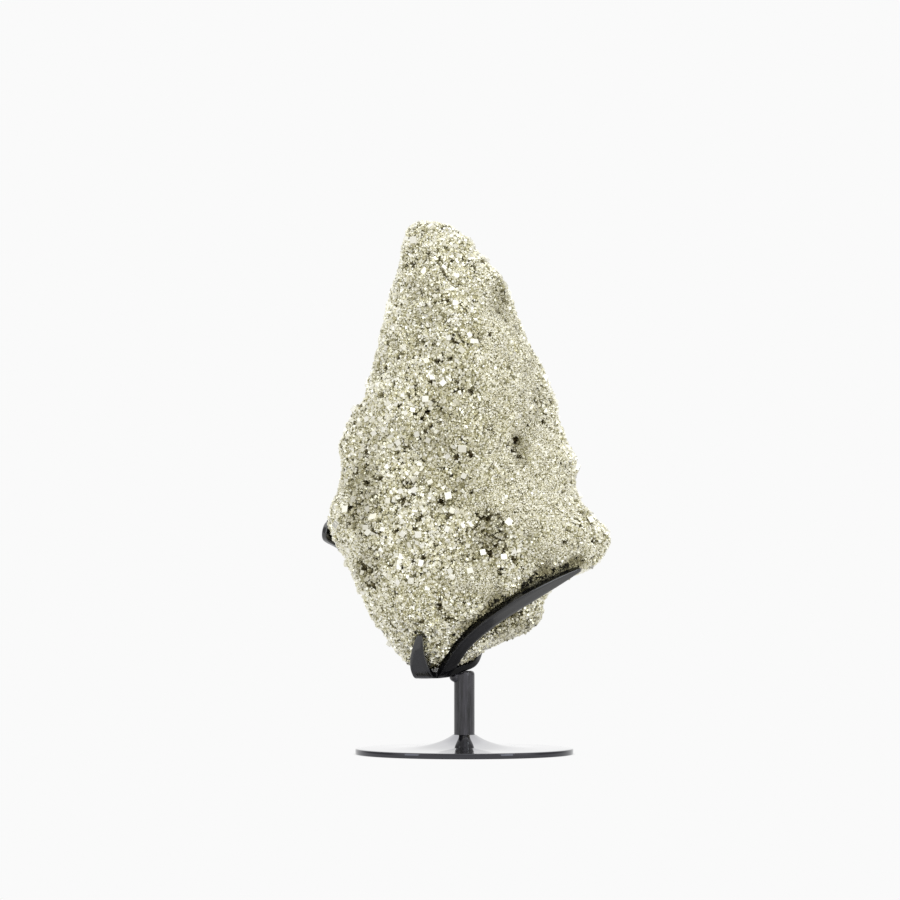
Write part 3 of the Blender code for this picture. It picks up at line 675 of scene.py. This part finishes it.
dice = random.Random(CUBE_SEED)
bm = bmesh.new()
number_layer = bm.verts.layers.float.new("crystal")
for centre, turn, size in cubes:
    shape = Matrix.Translation(centre) @ turn.to_4x4() @ Matrix.Diagonal((*size, 1.0))
    made = bmesh.ops.create_cube(bm, size=1.0, matrix=shape)["verts"]
    edges = list(dict.fromkeys(edge for vert in made for edge in vert.link_edges))
    bevels = bmesh.ops.bevel(bm, geom=edges, offset=CUBE_EDGE, segments=1, affect="EDGES")["faces"]
    beside = dict.fromkeys(face for bevel in bevels for vert in bevel.verts for face in vert.link_faces)
    flats = [face for face in beside if face.calc_area() > WHOLE_FACE * min(size) ** 2]
    own = dice.uniform(*CUBE_NUMBER)
    for flat in flats:
        inset = dice.uniform(*STEP_INSET) * min(size)
        if dice.random() < STEP_CHANCE:
            bmesh.ops.inset_region(bm, faces=[flat], thickness=inset, use_even_offset=True)
            bmesh.ops.inset_region(bm, faces=[flat], thickness=STEP_WIDE, depth=STEP_HIGH)
            slide = turn @ (Vector((dice.uniform(-1, 1), dice.uniform(-1, 1), 0)) * STEP_SLIDE * inset)
            bmesh.ops.translate(bm, verts=flat.verts, vec=slide - flat.normal * flat.normal.dot(slide))
    for vert in bm.verts:
        if vert[number_layer] == 0.0:
            vert[number_layer] = own
bmesh.ops.recalc_face_normals(bm, faces=bm.faces)
large = object_from(bm, "large_cubes")
large.data.materials.append(large_finish)
print("large cubes:", triangles(large), "triangles")

# %% [markdown]
# ## Where which grain grows
# One plane of the crust is as fine as sugar, the lower front is coarse, and the rest lies between.
# Numbers on the body's points say how many of each grain may grow there. The patches steer the
# display side, and wide blotches steer the back.

# %% Fine and coarse places
FRAY_WIDE = 9.0 * MM        # width of the blotches that fray the patches' edges
FRAY_FINE, FRAY_COARSE = 0.7, 0.8   # how strongly they do
BLOTCH_WIDE = 28.0 * MM     # width of the blotches of the back
BLOTCH_SHIFT = (5, 1, 3)
BLOTCH_STEEP = 3.0
FINE_ABOVE, COARSE_BELOW = 0.22, -0.05      # height of that noise where the back is so
SIDES_MEET = 8.0 * MM       # depth over which the display side gives way to the back

fray = noise_at(FRAY_WIDE)
blotch = noise_at(BLOTCH_WIDE, BLOTCH_SHIFT)
display = np.clip(0.5 - points[:, 1] / SIDES_MEET, 0.0, 1.0)
fine = np.clip(in_patches(FINE_PATCHES) + FRAY_FINE * fray, 0, 1) * display
fine = np.maximum(fine, np.clip(BLOTCH_STEEP * (blotch - FINE_ABOVE), 0, 1) * (1 - display))
coarse = np.clip(in_patches(COARSE_PATCHES) + FRAY_COARSE * fray, 0, 1) * display * (1 - fine)
coarse = np.maximum(coarse, np.clip(BLOTCH_STEEP * (COARSE_BELOW - blotch), 0, 1) * (1 - display))
print(f"fine {fine.mean():.1%}, coarse {coarse.mean():.1%}")

# %% Places without crystals
CLEAR_OF_STEEL = 1.0 * MM   # nothing grows nearer to the claw
STEEL_FADE = 0.5 * MM       # and over this distance it thickens
PIT_PEAK, PIT_FALL = 1.4, 1.6       # little grows in a pit, and a shallow pit is still overgrown
UNDER_CUBE = 0.15 * MM

room_to_grow = (np.clip((to_claw - CLEAR_OF_STEEL) / STEEL_FADE, 0.0, 1.0)
                * np.clip(PIT_PEAK - PIT_FALL * pit, 0.0, 1.0))
for centre, turn, size in cubes:
    past_side = np.abs((points - np.array(centre)) @ np.array(turn)) - np.array(size) / 2
    room_to_grow[(past_side < UNDER_CUBE).all(axis=1)] = 0.0
print(f"crystals may grow on {(room_to_grow > 0).mean():.1%} of the points")

# %% [markdown]
# Crystals tarnish in patches, some of which are painted light and shade. Beside the long prong, where the
# stand was painted with the stone in it, they carry a grey film and specks of black enamel, and both also
# paint the shade that falls on the stone just above the prong.

# %% Tarnish and splashes
TARNISH_MOST = 0.42
DULL = 0.4                  # how much film, with painted shade, the dull patches add
TARNISH_FRAY, TARNISH_BLOTCH, TARNISH_ALL = 0.5, 0.3, 0.06
ENAMEL_AND_SHADE_REACH = 3.6 * MM     # how far from the claw the enamel and painted shade reach onto the crystals
ENAMEL_AND_SHADE_WIDE = 5.0 * MM
ENAMEL_AND_SHADE_SHIFT = (4, 4, 0)
ENAMEL_AND_SHADE_FRAY = 1.5
FILM_AND_SHADE_PEAK, FILM_AND_SHADE_MOST = 1.3, 0.9
PRONG_FADE = 8.0 * MM       # the enamel and painted shade fade over this distance to the left of the long prong
PRONG_PEAK, PRONG_LEAST = 0.8, 0.15

# Film from tarnish, with painted shade in the dull patches and painted light in the clean ones.
tarnish_and_painted_light = TARNISH_MOST * np.clip(in_patches(TARNISHED_PATCHES) + DULL * in_patches(DULL_AND_SHADED_PATCHES)
                                 - in_patches(PAINTED_LIGHT_PATCHES) + TARNISH_FRAY * fray
                                 + TARNISH_BLOTCH * blotch + TARNISH_ALL, 0, 1)
above_steel = np.array([(Vector(p) - claw_tree.find_nearest(Vector(p))[0]).z for p in points]) > 0
by_prong = above_steel * np.clip(points[:, 0] / PRONG_FADE + PRONG_PEAK, PRONG_LEAST, 1)
specks = 1.0 - to_claw / ENAMEL_AND_SHADE_REACH + ENAMEL_AND_SHADE_FRAY * noise_at(ENAMEL_AND_SHADE_WIDE, ENAMEL_AND_SHADE_SHIFT)
enamel_and_shade = np.clip(specks, 0, 1) * by_prong
# Grey film beside the prong, which also paints the shade above it.
film_and_shade = np.clip(FILM_AND_SHADE_PEAK - to_claw / (2 * ENAMEL_AND_SHADE_REACH) + fray, 0, FILM_AND_SHADE_MOST) * by_prong
tarnish_and_painted_light = np.maximum(tarnish_and_painted_light, film_and_shade)
print(f"tarnish {tarnish_and_painted_light.mean():.2f} on average, enamel on {(enamel_and_shade > 0.5).mean():.1%}")

# %% Put the numbers on the body
MEDIUM_OUT_OF_FINE = 0.9    # how much of the medium grain is missing where the crust is fine
COARSE_ANYWHERE, COARSE_IN_PATCHES = 0.06, 0.6
HALVES_MEET = 3.0 * MM      # depth at which the front's and the back's crystals meet

medium = (1 - MEDIUM_OUT_OF_FINE * fine) * room_to_grow
front_half = points[:, 1] < HALVES_MEET
values = {
    "tarnish_and_painted_light": tarnish_and_painted_light, "enamel_and_shade": enamel_and_shade, "pit": pit, "fine": fine * room_to_grow,
    "medium": medium * front_half, "medium_behind": medium * ~front_half,
    "coarse": (COARSE_ANYWHERE + COARSE_IN_PATCHES * coarse) * (1 - fine) * room_to_grow,
}
for name, numbers in values.items():
    body.data.attributes.new(name, "FLOAT", "POINT").data.foreach_set("value", numbers)
body.data.shade_smooth()
body.data.materials.append(matrix_finish)
print({name: round(float(numbers.mean()), 3) for name, numbers in values.items()})

# %% [markdown]
# ## Growing the crystals
# Tens of thousands of cubes can't be placed by hand. Geometry Nodes scatters points on the body
# that keep a least distance, so that the cubes crowd but don't pile up. Each point gets a cube with
# its own size, spin and tilt, and its own number for the material. The instances are made real at
# the end, because only real faces are exported.

# %% Size and turn of each crystal
OFTEN_SMALL = 1.7           # over 1, small crystals are more common than large ones
SHORTEST_SIDE = 0.72        # of a crystal, as a share of its size: cubes grow a little unevenly
TURN_SEED, SIDES_SEED, NUMBER_SEED = 7, 9, 3


def crystal_size(tree, given):
    """A random size between Smallest and Largest."""
    chance = add_node(tree, "FunctionNodeRandomValue", {2: 0.0, 3: 1.0, "Seed": given["Seed"]},
                      data_type="FLOAT")
    small = add_node(tree, "ShaderNodeMath", {0: chance.outputs[1], 1: OFTEN_SMALL}, operation="POWER")
    return add_node(tree, "ShaderNodeMapRange", {"Value": small.outputs[0], "To Min": given["Smallest"],
                                                 "To Max": given["Largest"]}).outputs[0]


def crystal_turn(tree, given, upright):
    """Any spin about the surface's normal, and a tilt up to Tilt away from it."""
    most = add_node(tree, "ShaderNodeCombineXYZ", {0: given["Tilt"], 1: given["Tilt"], 2: math.pi})
    least = add_node(tree, "ShaderNodeVectorMath", {0: most.outputs[0], "Scale": -1.0}, operation="SCALE")
    angles = add_node(tree, "FunctionNodeRandomValue",
                      {0: least.outputs[0], 1: most.outputs[0], "Seed": TURN_SEED}, data_type="FLOAT_VECTOR")
    turn = add_node(tree, "FunctionNodeEulerToRotation", {0: angles.outputs[0]})
    return add_node(tree, "FunctionNodeRotateRotation", {0: upright, 1: turn.outputs[0]},
                    rotation_space="LOCAL").outputs[0]


def crystal_sides(tree, size):
    """The three sides of a crystal, each a random share of its size."""
    sides = add_node(tree, "FunctionNodeRandomValue", {0: (SHORTEST_SIDE,) * 3, 1: (1.0, 1.0, 1.0),
                                                       "Seed": SIDES_SEED}, data_type="FLOAT_VECTOR")
    return add_node(tree, "ShaderNodeVectorMath", {0: sides.outputs[0], "Scale": size},
                    operation="SCALE").outputs[0]


print("sides from", SHORTEST_SIDE, "to 1 of a crystal's size")

# %% The tree that grows crystals
CROWDING = 4e6              # points per m2 that are tried, before the least distance thins them
INPUTS = {"Geometry": "Geometry", "Spacing": "Float", "Smallest": "Float", "Largest": "Float",
          "Sunk": "Float", "Tilt": "Float", "Seed": "Int", "Where": "String", "Finish": "Material"}


def growing_tree():
    """Scatters cubes on a mesh where the attribute named by Where is high."""
    tree = bpy.data.node_groups.new("grow_crystals", "GeometryNodeTree")
    panel = tree.interface
    panel.new_socket("Geometry", in_out="OUTPUT", socket_type="NodeSocketGeometry")
    for name, kind in INPUTS.items():
        panel.new_socket(name, in_out="INPUT", socket_type="NodeSocket" + kind)
    given = add_node(tree, "NodeGroupInput").outputs
    where = add_node(tree, "GeometryNodeInputNamedAttribute", {"Name": given["Where"]}, data_type="FLOAT")
    spots = add_node(tree, "GeometryNodeDistributePointsOnFaces",
                     {"Mesh": given["Geometry"], "Distance Min": given["Spacing"], "Density Max": CROWDING,
                      "Density Factor": where.outputs["Attribute"], "Seed": given["Seed"]},
                     distribute_method="POISSON")
    size = crystal_size(tree, given)
    depth = add_node(tree, "ShaderNodeMath", {0: size, 1: given["Sunk"]}, operation="MULTIPLY")
    outward = add_node(tree, "ShaderNodeVectorMath", {0: spots.outputs["Normal"], "Scale": depth.outputs[0]},
                       operation="SCALE")
    inward = add_node(tree, "ShaderNodeVectorMath", {0: outward.outputs[0], "Scale": -1.0}, operation="SCALE")
    seated = add_node(tree, "GeometryNodeSetPosition", {"Geometry": spots.outputs["Points"],
                                                        "Offset": inward.outputs[0]})
    cube = add_node(tree, "GeometryNodeMeshCube", {"Size": (1.0, 1.0, 1.0)})
    placed = add_node(tree, "GeometryNodeInstanceOnPoints",
                      {"Points": seated.outputs[0], "Instance": cube.outputs["Mesh"],
                       "Rotation": crystal_turn(tree, given, spots.outputs["Rotation"]),
                       "Scale": crystal_sides(tree, size)})
    own = add_node(tree, "FunctionNodeRandomValue", {2: 0.0, 3: 1.0, "Seed": NUMBER_SEED}, data_type="FLOAT")
    numbered = add_node(tree, "GeometryNodeStoreNamedAttribute",
                        {"Geometry": placed.outputs[0], "Name": "crystal", "Value": own.outputs[1]},
                        data_type="FLOAT", domain="INSTANCE")
    real = add_node(tree, "GeometryNodeRealizeInstances", {"Geometry": numbered.outputs[0]})
    done = add_node(tree, "GeometryNodeSetMaterial", {"Geometry": real.outputs[0],
                                                      "Material": given["Finish"]})
    add_node(tree, "NodeGroupOutput", {0: done.outputs[0]})
    return tree


grow = growing_tree()
sockets = {item.name: item.identifier for item in grow.interface.items_tree if item.in_out == "INPUT"}
print("inputs:", list(sockets))

# %% Grow each size of grain
# piece, number that it follows, spacing, smallest, largest (mm), sunk (share), tilt (degrees), finish
GRAINS = (
    ("sugar_grains", "fine", 0.72, 0.62, 1.15, 0.05, 50, sugar_finish),
    ("small_crystals", "medium", 0.86, 0.75, 1.6, 0.05, 55, crystal_finish),
    ("small_crystals_behind", "medium_behind", 1.0, 0.8, 1.8, 0.05, 55, crystal_finish),
    ("coarse_crystals", "coarse", 2.4, 1.5, 3.0, 0.12, 50, crystal_finish),
)
grown = []
for seed, (name, where, spacing, smallest, largest, sunk, tilt, finish) in enumerate(GRAINS):
    crop = new_object(name, body.data.copy())
    sprout = crop.modifiers.new("grow", "NODES")
    sprout.node_group = grow
    for socket, value in (("Spacing", spacing * MM), ("Smallest", smallest * MM), ("Largest", largest * MM),
                          ("Sunk", sunk), ("Tilt", math.radians(tilt)), ("Seed", seed), ("Where", where),
                          ("Finish", finish)):
        sprout[sockets[socket]] = value
    applied(crop)
    crop.data.shade_flat()
    grown.append(crop)
    print(name, triangles(crop), "triangles")

# %% [markdown]
# ## Black finishes
# The stand is steel under black enamel, which is never quite even. So one function makes it from a
# noise that steers its colour, gloss and skin together, in spots that can be drawn out upright.
# The same function with a metallic shader gives bare or plated metal.

# %% A function for enamel
SPOTS_FROM, SPOTS_TO = 0.3, 0.7     # heights of the noise that count as fully dark and fully pale


def enamel(name, spot, upright, dark, pale, smooth, dull, skin, **sockets):
    """A finish that varies between two colours and two roughnesses; spot and skin are in metres."""
    material, tree, shader = new_material(name, **sockets)
    place = add_node(tree, "ShaderNodeTexCoord")
    drawn_out = add_node(tree, "ShaderNodeVectorMath", {0: place.outputs["Object"], 1: (1, 1, 1 / upright)},
                         operation="MULTIPLY")
    spots = add_node(tree, "ShaderNodeTexNoise", {"Vector": drawn_out.outputs[0], "Scale": 1 / spot,
                                                  "Detail": 2.0})
    colour = ramp(tree, spots.outputs["Fac"], ((SPOTS_FROM, dark), (SPOTS_TO, pale)))
    tree.links.new(colour, shader.inputs["Base Color"])
    gloss = add_node(tree, "ShaderNodeMapRange", {"Value": spots.outputs["Fac"], "From Min": SPOTS_FROM,
                                                  "From Max": SPOTS_TO, "To Min": smooth, "To Max": dull})
    tree.links.new(gloss.outputs[0], shader.inputs["Roughness"])
    bump = add_node(tree, "ShaderNodeBump", {"Height": spots.outputs["Fac"], "Distance": skin})
    tree.links.new(bump.outputs[0], shader.inputs["Normal"])
    return material


# The post looks dark grey, and its soft upright streaks are painted reflections of the studio in the round
# rod.
post_enamel_painted_streaks = enamel("black_enamel_painted_streaks", 1.5 * MM, 9, "#0C0C0E", "#444248", 0.1, 0.2, 0.03 * MM)
# The claw's ground edges show as thin lines of paler bare metal: partly enamel drawn back from the edge,
# partly a painted highlight along it.
edge_wear_and_highlight = enamel("bare_edges_and_painted_highlight", 2.2 * MM, 1, "#85858C", "#ABABB2", 0.2, 0.35, 0.0, Metallic=1.0)
print("finishes:", post_enamel_painted_streaks.name, "and", edge_wear_and_highlight.name)

# %% [markdown]
# The claw's gloss black has the soft waves of a dipped coat. Its reflections are painted shade round the hub:
# they are weak there, grow with the distance from the hub, and are full on the short prong.

# %% Gloss black of the claw
HUB = (-8.0, 0.0, 40.0)     # middle of the hub in mm
DARK_WITHIN, BRIGHT_BEYOND = 14.0 * MM, 74.0 * MM
DARK_SPECULAR, BRIGHT_SPECULAR = 0.14, 0.95
SHORT_PRONG = (-12.0 * MM, -18.0 * MM)      # x where the short prong begins, and where it is as bright

gloss_black = enamel("gloss_black_enamel", 2.2 * MM, 1, "#050506", "#0E0E10", 0.1, 0.22, 0.06 * MM)
tree = gloss_black.node_tree
place = add_node(tree, "ShaderNodeTexCoord")
away = add_node(tree, "ShaderNodeVectorMath", {0: place.outputs["Object"], 1: [v * MM for v in HUB]},
                operation="DISTANCE")
# Painted shade: reflections are weak round the hub and grow with the distance from it.
painted_hub_shade = add_node(tree, "ShaderNodeMapRange", {"Value": away.outputs["Value"], "From Min": DARK_WITHIN,
                                              "From Max": BRIGHT_BEYOND, "To Min": DARK_SPECULAR,
                                              "To Max": BRIGHT_SPECULAR})
across = add_node(tree, "ShaderNodeSeparateXYZ", {0: place.outputs["Object"]})
on_short = add_node(tree, "ShaderNodeMapRange", {"Value": across.outputs["X"], "From Min": SHORT_PRONG[0],
                                                 "From Max": SHORT_PRONG[1], "To Max": BRIGHT_SPECULAR})
most = add_node(tree, "ShaderNodeMath", {0: painted_hub_shade.outputs[0], 1: on_short.outputs[0]}, operation="MAXIMUM")
tree.links.new(most.outputs[0], tree.nodes["Principled BSDF"].inputs["Specular IOR Level"])
print("reflections from", DARK_SPECULAR, "at the hub to", BRIGHT_SPECULAR)

# %% [markdown]
# The disc mirrors the pale wall at the flat angle from which it is seen, so it is plated with
# polished black nickel. The plating is thicker and darker on the rim.

# %% Black nickel of the base
DARK_RIM_FROM = 52.1 * MM
RIM_GREY = "#48484C"

nickel = enamel("polished_black_nickel", 14.0 * MM, 1, "#98989B", "#A6A6A9", 0.03, 0.06, 0.0, Metallic=1.0)
tree = nickel.node_tree
colour_in = tree.nodes["Principled BSDF"].inputs["Base Color"]
polished = colour_in.links[0].from_socket
place = add_node(tree, "ShaderNodeTexCoord")
flat = add_node(tree, "ShaderNodeVectorMath", {0: place.outputs["Object"], 1: (1, 1, 0)},
                operation="MULTIPLY")
radius = add_node(tree, "ShaderNodeVectorMath", {0: flat.outputs[0]}, operation="LENGTH")
at_rim = add_node(tree, "ShaderNodeMath", {0: radius.outputs["Value"], 1: DARK_RIM_FROM},
                  operation="GREATER_THAN")
rim = add_node(tree, "ShaderNodeMix", {"Factor": at_rim.outputs[0], "A": polished, "B": linear(RIM_GREY)},
               data_type="RGBA")
tree.links.new(rim.outputs["Result"], colour_in)
print("the rim is darker from radius", round(DARK_RIM_FROM / MM, 1), "mm")

# %% [markdown]
# ## The claw
# The claw is plate that was cut as a cross and bent. The solid's flats are joined back into long
# faces, and a subdivision rounds the bends while creases hold the plate's edges. A narrow bevel
# grinds those edges off in a finish of their own, so the materials come first.

# %% Claw
ROUNDED = 2                 # levels of subdivision
ONE_FLAT = math.radians(12)     # triangles that meet under this angle belong to one flat
SHARP = math.radians(35)        # edges over this angle stay sharp and are ground
GROUND = 0.4 * MM           # width of the ground edge

bm = cad_bmesh("claw_cradle")
bmesh.ops.join_triangles(bm, faces=bm.faces, angle_face_threshold=ONE_FLAT, angle_shape_threshold=math.pi)
creases = bm.edges.layers.float.new("crease_edge")
for edge in bm.edges:
    if len(edge.link_faces) == 2 and edge.calc_face_angle() > SHARP:
        edge[creases] = 1.0
claw = object_from(bm, "claw_plate")
for finish in (gloss_black, edge_wear_and_highlight):
    claw.data.materials.append(finish)
smooth = claw.modifiers.new("rounded", "SUBSURF")
smooth.levels = smooth.render_levels = ROUNDED
ground = claw.modifiers.new("ground_edges", "BEVEL")
ground.limit_method = "ANGLE"
ground.angle_limit = SHARP
ground.width = GROUND
ground.segments = 1
ground.material = 1
applied(claw)
claw.data.shade_smooth()
print("claw:", triangles(claw), "triangles,",
      sum(face.material_index == 1 for face in claw.data.polygons), "faces on ground edges")

# %% [markdown]
# ## The post
# The post is a short rod, rounded at its top and welded to the claw with a bead. A fine net over
# rod and bead lets the two flow into each other, as a weld does.

# %% Post
POST_VOXEL = 0.35 * MM
POST_SMOOTHED = 6
post = even_net("post", "post_rod", POST_VOXEL, POST_SMOOTHED)
post.data.shade_smooth()
post.data.materials.append(post_enamel_painted_streaks)
print("post:", triangles(post), "triangles")

# %% [markdown]
# ## The base
# The base is a disc of sheet steel that was spun on a lathe, so its form is one profile turned
# round the axis. The solid has the same profile with few sides; this one has enough to look round.

# %% Profile of the base
BASE_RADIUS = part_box("base_disc")[1].x
BASE_THICK = 2.7 * MM
RIM_ROUND = 0.5 * MM
RIM_STEPS = 3
FLARE_RISE = 6.9 * MM       # how far the trumpet climbs
FLARE_FADE = 9.3 * MM       # distance over which it falls to about a third
FLARE_STEPS = 26
FLARE_CROWDING = 1.8        # over 1, the steps crowd where the curve is steep
FLAT_MARGIN = 4.0 * MM      # from the rim to the first step
COLLAR = 5.3 * MM           # radius of the socket's mouth
COLLAR_EDGE = 0.3 * MM
SOCKET_FLOOR = 1.2 * MM

profile = [(0.0, 0.0), (BASE_RADIUS - RIM_ROUND, 0.0)]
for step in range(1, RIM_STEPS + 1):
    angle = math.pi / 2 * step / RIM_STEPS
    profile.append((BASE_RADIUS - RIM_ROUND * (1 - math.sin(angle)), RIM_ROUND * (1 - math.cos(angle))))
for step in range(RIM_STEPS + 1):
    angle = math.pi / 2 * step / RIM_STEPS
    profile.append((BASE_RADIUS - RIM_ROUND * (1 - math.cos(angle)),
                    BASE_THICK - RIM_ROUND * (1 - math.sin(angle))))
for step in range(FLARE_STEPS + 1):
    share = (1 - step / FLARE_STEPS) ** FLARE_CROWDING
    radius = COLLAR + COLLAR_EDGE + (BASE_RADIUS - FLAT_MARGIN - COLLAR) * share
    profile.append((radius, BASE_THICK + FLARE_RISE * math.exp(-(radius - COLLAR) / FLARE_FADE)))
profile += [(COLLAR, BASE_THICK + FLARE_RISE - COLLAR_EDGE), (COLLAR, SOCKET_FLOOR), (0.0, SOCKET_FLOOR)]
print(len(profile), "points in the profile")

# %% Base
TURNS = 160
WELD_WITHIN = 0.001 * MM    # merges the seam and the points on the axis
BASE_SHARP = math.radians(35)

bm = bmesh.new()
line = [bm.verts.new((radius, 0.0, height)) for radius, height in profile]
edges = [bm.edges.new(pair) for pair in zip(line, line[1:])]
bmesh.ops.spin(bm, geom=line + edges, axis=(0, 0, 1), cent=(0, 0, 0), steps=TURNS, angle=2 * math.pi)
bmesh.ops.remove_doubles(bm, verts=bm.verts, dist=WELD_WITHIN)
bmesh.ops.recalc_face_normals(bm, faces=bm.faces)
base = object_from(bm, "base_plate")
base.data.shade_smooth()
base.data.set_sharp_from_angle(angle=BASE_SHARP)
base.data.materials.append(nickel)
print("base:", triangles(base), "triangles")

# %% [markdown]
# ## Pieces on the body
# Every piece rides on the one body of the part, and the CAD nodes that the pieces stand for are hidden.

# %% Pieces and bodies
for piece in (body, large, *grown):
    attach(piece, "root")
for piece, slot in ((claw, "black_steel"), (post, "black_steel"), (base, "black_nickel")):
    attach(piece, "root")
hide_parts("pyrite_cluster")
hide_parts("claw_cradle")
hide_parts("post")
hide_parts("base_disc")
print("all pieces:", sum(triangles(o) for o in (body, large, claw, post, base, *grown)), "triangles")

# %% Sizes, and the end
visual_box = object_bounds()
boxes = {"cad": [list(corner) for corner in cad_box], "visual": [list(corner) for corner in visual_box]}
for name, box in boxes.items():
    print(name, [round(v / MM, 2) for corner in box for v in corner])
